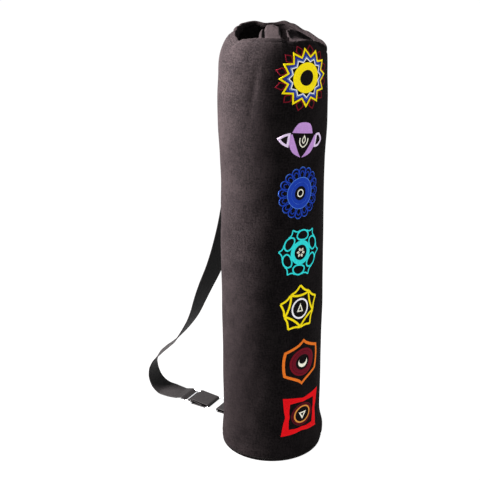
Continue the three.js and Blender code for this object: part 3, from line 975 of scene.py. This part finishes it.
def leaf(inner, outer, half_width):
    """A pointed leaf straight up from one radius to another."""
    middle = (inner + outer) / 2
    right = smooth([(0, outer), (half_width * 0.62, mix(middle, outer, 0.45)), (half_width, middle),
                    (half_width * 0.6, mix(inner, middle, 0.4)), (0, inner)], False, 5)
    left = [(-x, y) for x, y in right[::-1]]
    return right[:-1] + left[:-1]


def sun_figure():
    petal = leaf(33, 49.8, 6.2)
    petals = [outline(turned(petal, 15 + 30 * step), 1.6, "maroon", 0.4) for step in range(12)]
    return petals + [
        outline(star(12, 44.4, 32.3), 2.6, "yellow"),
        outline(star(12, 36.9, 29), 2.1, "violet"),
        outline(star(12, 32.4, 25.9), 0.9, "sky"),
        outline(star(12, 30, 24.4), 1.5, "white"),
        ring(22.4, 11.6, 96, "yellow", 0.7),
    ]


def purple_figure():
    cap_low = [(x, 9.6) for x in np.linspace(-22.5, 15.5, 15)]
    cap_high = [(-21.6, 11.5), (-19.5, 17), (-14.5, 24), (-8, 26.2), (1, 26), (8, 24), (13, 17), (15, 11.5)]
    outer = [(23.5, 7), (25, -2), (22.5, -12), (15, -21.5), (2, -27.5)]
    inner = [(21.5, 7.2), (16.5, -2), (11.3, -11.5), (6, -20.5), (1.4, -27)]
    left_ear = [(-24.5, 9, 1), (-34, 5.5, 0), (-44, -2.5, 1), (-35, -10, 0), (-24, -14, 1)]
    right_ear = [(24.5, 9, 1), (34, 9.5, 0), (42.5, -1, 0), (35, -10.5, 0), (24, -12, 1)]
    drop = [(0, 7.5, 1), (3.4, -1, 0), (0, -6.4, 0), (-3.4, -1, 0)]
    cup = [(-7.6, 2.5), (-6.4, -6), (0, -11.5), (6.4, -6), (7.6, 2.5)]
    bands = [stitched(cap_low, smooth(cap_high, False, 2), "lilac", False, 0.7)]
    for side in (-1, 1):
        edges = [smooth([(side * x, y) for x, y in edge], False, 4) for edge in (outer, inner)]
        bands.append(stitched(*edges, "lilac", False, 0.7))
    return bands + [
        outline(corners_and_curves(left_ear), 3.6, "pale_lilac"),
        outline(corners_and_curves(right_ear), 3.4, "pale_lilac"),
        outline(corners_and_curves(drop), 1.5, "cream"),
        line_of(smooth(cup, False, 6), 1.6, "cream"),
    ]


def blue_figure():
    half = 10.2
    loop = arch((25, half * 0.72), (30, half * 0.86), (35, half), (38.6, half * 0.8), (40.6, 0))
    arc = arch((31.6, half * 0.55), (34.4, half * 0.36), (35.2, 0))
    rim = arch((36, half * 0.98), (39.6, half * 0.72), (41.4, 0))
    stitches = [(loop, 1.9, "royal"), (arc, 1.5, "royal", 0.45), (rim, 0.7, "light_blue", 0.6)]
    bands = [ring(25.2, 11.2, 96, "royal", 0.7)]
    for petal in range(16):
        for points, *stitch in stitches:
            bands.append(line_of(turned(smooth(points, False, 3), 22.5 * petal), *stitch))
    return bands + [
        outline(circle(18.2, 72), 0.9, "light_blue", 0.95),
        outline(circle(25.5, 90), 1.1, "light_blue", 0.75),
        outline(circle(6.4, 40), 1.7, "cream"),
    ]


def cyan_figure():
    bands = []
    for petal in range(6):
        for side in (-1, 1):
            to_tip = [(36.9, 19), (36.1, 12.5), (37.8, 6), (42.8, 0)]
            edge = smooth([polar(radius, side * angle) for radius, angle in to_tip], False, 5)
            bands.append(line_of(turned(edge, 30 + 60 * petal), 2.2, "cyan", 0.42))
    petal_rim = arch((22, 20), (28, 26.5), (34, 20), (37.4, 9), (38.2, 0))
    round_petal = smooth([polar(19.6, 0), *petal_rim], True, 5)
    for petal in range(6):
        bands.append(outline(turned(round_petal, 60 * petal), 2.6, "cyan", 0.62))
    bands.append(ring(20, 12.6, 84, "cyan", 0.8))
    drop = corners_and_curves([(0, 8.6, 1), (2, 5, 0), (0, 2.4, 1), (-2, 5, 0)], 4)
    for point in range(6):
        bands.append(outline(turned(drop, 60 * point + 30), 1.3, "cream"))
    return bands


def yellow_figure():
    bands, pentagon = [], []
    for side in range(5):
        for half in (-1, 1):
            to_tip = [polar(32.4, half * 34), polar(32.2, half * 17), polar(40, 0)]
            bands.append(line_of(turned(smooth(to_tip, False, 6), 72 * side - 4), 3.4, "yellow"))
        angle = 72 * side + 32
        pentagon += [(*polar(34, angle), 1), (*polar(25.6, angle + 22), 0), (*polar(25.6, angle + 50), 0)]
    triangle = [(0, 9.2, 1), (6.4, -5.3, 1), (-6.4, -5.3, 1)]
    return bands + [
        outline(corners_and_curves(pentagon), 3.7, "yellow", 0.7),
        ring(17.6, 14.6, 80, "white"),
        outline(corners_and_curves(triangle, 2), 2, "cream"),
    ]


def orange_figure():
    side = [(0, 41.5, 1), (6, 36, 0), (16, 30.5, 0), (34.5, 22.5, 1), (36.8, 9, 0), (36.3, -11, 0),
            (34, -22.5, 1), (16, -30.5, 0), (6, -36, 0), (0, -41.5, 1)]
    shape = side + [(-x, y, sharp) for x, y, sharp in side[1:-1][::-1]]
    hollow = [(x * 0.875, y * 0.86, sharp) for x, y, sharp in shape]
    moon_outer = [polar(9, angle) for angle in np.linspace(70, 290, 30)]
    moon_inner = [(x * 0.82, y * 0.72 + 3.4) for x, y in moon_outer]
    return [
        stitched(corners_and_curves(shape, 5), corners_and_curves(hollow, 5), "orange", True),
        ring(24.5, 20.5, 90, "maroon", 0.4),
        ring(20.1, 13.5, 84, "oxblood", 0.5),
        outline(circle(16.6, 72), 1.2, "maroon", 0.75),
        stitched(moon_outer, moon_inner, "cream"),
    ]


def bowed_square(corner, shoulder, middle):
    """A square with its sides bowed in, from its radii at the corner and along the side."""
    points = []
    for angle in (45, 135, 225, 315):
        points += [(*polar(corner, angle), 1), (*polar(shoulder, angle + 27), 0),
                   (*polar(middle, angle + 45), 0), (*polar(shoulder, angle + 63), 0)]
    return corners_and_curves(points, 6)


def red_figure():
    return [
        stitched(bowed_square(50.6, 34.4, 30.8), bowed_square(33.5, 25.6, 23.4), "red", True, 0.8),
        outline(circle(20.6, 80), 1.2, "oxblood", 0.4),
        outline(circle(18.3, 80), 1.3, "maroon", 0.45),
        ring(16, 13.6, 80, "gold"),
        outline([(0, -9), (-7.2, 4.3), (7.2, 4.3)], 2.2, "cream"),
    ]


# Each figure's place: millimetres up the wall, degrees of turn, degrees of spin anticlockwise
# on the cloth, and its width against its height
FIGURES = [
    ("emblem_sun", sun_figure, 645, 1, -3, 1.035),
    ("emblem_purple", purple_figure, 552, -1.9, -10.5, 0.98),
    ("emblem_blue", blue_figure, 468, -4.6, -5, 0.88),
    ("emblem_cyan", cyan_figure, 370, -2.8, -7, 0.885),
    ("emblem_yellow", yellow_figure, 274, -2.6, -4, 0.9),
    ("emblem_orange", orange_figure, 177, 2, -2, 1.01),
    ("emblem_red", red_figure, 79.5, 3.2, -2.5, 1.09),
]


# Materials
class Look:
    """A material in the making: its methods add nodes and give back their outputs."""

    def __init__(self, name):
        self.material = bpy.data.materials.new(name)
        self.material.use_nodes = True
        self.tree = self.material.node_tree
        self.shader = self.tree.nodes["Principled BSDF"]

    def put(self, socket, value):
        """Links an output to a socket, or sets a plain value on it."""
        if isinstance(value, bpy.types.NodeSocket):
            self.tree.links.new(value, socket)
        else:
            socket.default_value = value

    def add(self, kind, output, inputs, **options):
        node = self.tree.nodes.new("ShaderNode" + kind)
        for name, value in options.items():
            setattr(node, name, value)
        for name, value in inputs.items():
            self.put(node.inputs[name], value)
        return node.outputs[output]

    def cloth_map(self):
        return self.add("UVMap", "UV", {}, uv_map="cloth")

    def place(self):
        return self.add("TexCoord", "Object", {})

    def noise(self, vector, scale, detail):
        inputs = {"Vector": vector, "Scale": scale, "Detail": detail, "Roughness": 0.6}
        return self.add("TexNoise", "Fac", inputs)

    def streaks(self, vector, across, along):
        stretched = self.add("Mapping", "Vector", {"Vector": vector, "Scale": (across, along, 1)})
        return self.noise(stretched, 1, 3)

    def times(self, first, second):
        return self.add("Math", 0, {0: first, 1: second}, operation="MULTIPLY")

    def plus(self, first, second):
        return self.add("Math", 0, {0: first, 1: second}, operation="ADD")

    def ramp(self, factor, low, high, dark, light):
        colour = self.add("ValToRGB", "Color", {"Fac": factor})
        ends = colour.node.color_ramp.elements
        for end, position, shade in zip(ends, (low, high), (dark, light)):
            end.position = position
            end.color = (*shade, 1)
        return colour

    def weave(self, vector, across, along):
        """Plain weave height from two crossed waves, as threads per metre."""
        threads = {"Vector": vector, "Distortion": 0.6, "Detail": 1, "Detail Scale": 2}
        waves = [self.add("TexWave", "Fac", {**threads, "Scale": count / 3.18}, bands_direction=axis)
                 for axis, count in (("X", across), ("Y", along))]
        return self.times(*waves)

    def bump(self, height, strength, distance):
        return self.add("Bump", "Normal", {"Height": height, "Strength": strength, "Distance": distance})

    def finish(self, sockets):
        for name, value in sockets.items():
            self.put(self.shader.inputs[name], value)
        return self.material


def linear(red, green, blue):
    """Scene colour from 0-255 display values."""
    def channel(value):
        value /= 255
        return value / 12.92 if value <= 0.04045 else ((value + 0.055) / 1.055) ** 2.4
    return (channel(red), channel(green), channel(blue))


def canvas_material():
    look = Look("canvas")
    cloth = look.cloth_map()
    weft = look.streaks(cloth, 60, 900)
    warp = look.streaks(cloth, 900, 60)
    threads = look.plus(look.times(weft, 0.5), look.times(warp, 0.5))
    patches = look.noise(cloth, 24, 5)
    grain = look.noise(cloth, 380, 4)
    fine = look.plus(look.times(threads, 0.45), look.times(grain, 0.35))
    tone = look.plus(fine, look.times(patches, 0.2))
    woven = look.times(look.weave(cloth, 1250, 1100), 0.45)
    relief = look.plus(woven, look.plus(threads, look.times(grain, 0.7)))
    return look.finish({
        "Base Color": look.ramp(tone, 0.45, 0.55, (0.0023, 0.0019, 0.0021), (0.0083, 0.0068, 0.0071)),
        "Normal": look.bump(relief, 0.55, 0.0004),
        "Roughness": 0.92,
        "Specular IOR Level": 0.02,
        "Sheen Weight": 0.008,
        "Sheen Roughness": 0.5,
        "Sheen Tint": (1, 0.78, 0.82, 1),
    })


def webbing_material():
    look = Look("webbing")
    cloth = look.cloth_map()
    fuzz = look.noise(cloth, 900, 3)
    return look.finish({
        "Base Color": look.ramp(fuzz, 0.3, 0.7, (0.0015, 0.0014, 0.0015), (0.0034, 0.0032, 0.0034)),
        "Normal": look.bump(look.weave(cloth, 620, 420), 0.6, 0.0004),
        "Roughness": 0.6,
        "Specular IOR Level": 0.12,
        "Sheen Weight": 0.01,
    })


def chrome_material():
    look = Look("chrome")
    wear = look.noise(look.place(), 260, 4)
    return look.finish({
        "Base Color": look.ramp(wear, 0.3, 0.7, (0.72, 0.73, 0.75), (0.86, 0.87, 0.88)),
        "Roughness": look.add("MapRange", "Result", {"Value": wear, "To Min": 0.1, "To Max": 0.24}),
        "Metallic": 1,
    })


def thread_material(name, colour):
    look = Look("thread_" + name)
    strands = look.noise(look.place(), 1100, 2)
    light = linear(*colour)
    dark = [channel * 0.72 for channel in light]
    return look.finish({
        "Base Color": look.ramp(strands, 0.32, 0.62, dark, light),
        "Normal": look.bump(strands, 0.35, 0.0002),
        "Roughness": 1,
        "Specular IOR Level": 0.12,
    })


THREADS = {
    "black": (12, 11, 11),
    "yellow": (255, 232, 20),
    "violet": (40, 52, 160),
    "sky": (110, 150, 235),
    "maroon": (112, 13, 30),
    "white": (248, 246, 250),
    "cream": (250, 248, 230),
    "lilac": (196, 150, 216),
    "pale_lilac": (232, 212, 243),
    "royal": (27, 62, 172),
    "light_blue": (92, 142, 232),
    "cyan": (52, 226, 226),
    "orange": (232, 118, 36),
    "oxblood": (100, 14, 32),
    "red": (232, 14, 24),
    "gold": (228, 150, 66),
}


def floor_material():
    return Look("floor").finish({
        "Base Color": (0.02, 0.02, 0.02, 1),
        "Roughness": 0.9,
        "Specular IOR Level": 0,
        "Emission Color": (1, 1, 1, 1),
        "Emission Strength": 1,
    })


# Stage
def make_camera():
    camera = bpy.data.objects.new("camera", bpy.data.cameras.new("camera"))
    bpy.context.scene.collection.objects.link(camera)
    forward = Vector(CAMERA_FORWARD).normalized()
    right = forward.cross(Vector(CAMERA_UP)).normalized()
    up = right.cross(forward)
    turn = Matrix((right, up, -forward)).transposed().to_4x4()
    camera.matrix_world = Matrix.Translation(CAMERA_PLACE) @ turn
    camera.data.sensor_width = SENSOR
    camera.data.lens = FOCAL
    bpy.context.scene.camera = camera
    return right, forward


def area_light(name, place, target, size, power):
    light = bpy.data.lights.new(name, "AREA")
    light.shape = "RECTANGLE"
    light.size, light.size_y = size
    light.energy = power
    light.color = (1, 0.9, 0.9)
    lamp = bpy.data.objects.new(name, light)
    lamp.location = place
    lamp.rotation_euler = (Vector(target) - Vector(place)).to_track_quat("-Z", "Y").to_euler()
    bpy.context.scene.collection.objects.link(lamp)


def make_stage():
    corners = [(-9, -9, 0), (9, -9, 0), (9, 9, 0), (-9, 9, 0)]
    floor = make_object("floor", corners, [(0, 1, 2, 3)], [floor_material()])
    world = bpy.data.worlds.new("studio")
    world.use_nodes = True
    background = world.node_tree.nodes["Background"]
    background.inputs["Color"].default_value = (1, 1, 1, 1)
    background.inputs["Strength"].default_value = 1
    bpy.context.scene.world = world
    bpy.context.scene.view_settings.view_transform = "Standard"
    bpy.context.scene.view_settings.look = "None"


def make_lights(right, forward):
    key = -right * 0.7 + forward * 0.03 + Vector((0, 0, 0.97))
    area_light("key", key, (0, 0, 0.7), (0.3, 0.3), 170)
    rim = -right * 1.02 + forward * 0.64 + Vector((0, 0, 0.25))
    area_light("rim", rim, (0, 0, 0.2), (0.2, 0.5), 20)


def build():
    right, forward = make_camera()
    canvas = canvas_material()
    web = webbing_material()
    chrome = chrome_material()
    threads = {name: thread_material(name, colour) for name, colour in THREADS.items()}
    black = threads["black"]
    pieces = [
        canvas_bag(canvas),
        base_disc(canvas),
        webbing("webbing_strap", *strap_stations(), [web], "shoulder_strap"),
        tab_webbing([web]),
        metal_ring(chrome),
        metal_slider(chrome),
        seam_stitches(black),
        strap_end_stitches(black),
        tab_stitches(black),
    ]
    pieces += [figure(name, drawing(), threads, *place) for name, drawing, *place in FIGURES]
    for piece in pieces:
        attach(piece, "root")
    make_stage()
    make_lights(right, forward)


build()
